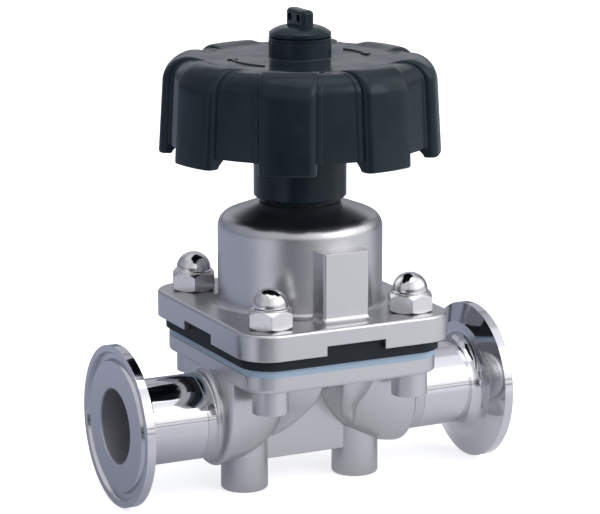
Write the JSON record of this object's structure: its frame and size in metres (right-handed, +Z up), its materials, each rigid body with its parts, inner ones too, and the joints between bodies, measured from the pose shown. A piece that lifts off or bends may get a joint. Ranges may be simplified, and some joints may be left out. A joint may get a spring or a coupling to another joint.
{
  "type": "weir diaphragm valve",
  "caption": "Hand operated weir diaphragm valve: cast steel body with clamp ends, flanged bonnet, black handwheel turning a screw that lifts the diaphragm.",
  "frame": {"origin": "on the floor under the spindle's axis, midway between the two clamp faces", "axes": "+X along the pipe towards the outlet, +Z up along the spindle, +Y to the back"},
  "size_m": [0.127, 0.0876, 0.1506],
  "materials": {
    "cast_steel": "satin, fine blasted casting",
    "polished_steel": "electropolished tube",
    "bright_steel": "polished",
    "turned_steel": "turned",
    "black_plastic": "semi-gloss moulded",
    "black_rubber": "matt moulded",
    "pale_ptfe": "smooth sintered",
    "bronze": "turned",
    "bush_plastic": "turned"
  },
  "bodies": {
    "valve_housing": {"valve_body": "cast_steel", "inlet_ferrule": "polished_steel", "outlet_ferrule": "polished_steel", "ptfe_diaphragm": "pale_ptfe", "backing_diaphragm": "black_rubber", "bonnet": "cast_steel", "neck_seal": "black_rubber", "flange_studs": "turned_steel", "cap_nuts": "bright_steel", "bearing_retainer": "turned_steel", "guide_bush": "bush_plastic", "stem_seal": "black_rubber", "lower_thrust_washer": "bush_plastic", "upper_thrust_washer": "bush_plastic"},
    "spindle_assembly": {"spindle": "turned_steel", "compressor": "cast_steel", "compressor_pin": "turned_steel", "diaphragm_stud": "turned_steel", "travel_stop_nut": "turned_steel", "travel_lock_nut": "turned_steel"},
    "wheel_assembly": {"spindle_nut": "bronze", "handwheel": "black_plastic", "top_cap": "black_plastic", "cap_seal": "black_rubber"}
  },
  "joints": [
    {"name": "wheel_turn", "type": "hinge", "parent": "valve_housing", "child": "wheel_assembly", "pos_m": [0, 0, 0.1], "axis": [0, 0, 1], "range_deg": [-1800, 0]},
    {"name": "spindle_travel", "type": "slide", "parent": "valve_housing", "child": "spindle_assembly", "axis": [0, 0, 1], "range_m": [-0.015, 0], "deforming": ["ptfe_diaphragm", "backing_diaphragm"]}
  ],
  "couplings": [
    {"joint": "spindle_travel", "follows": "wheel_turn", "m_per_rad": 0.00047746}
  ]
}
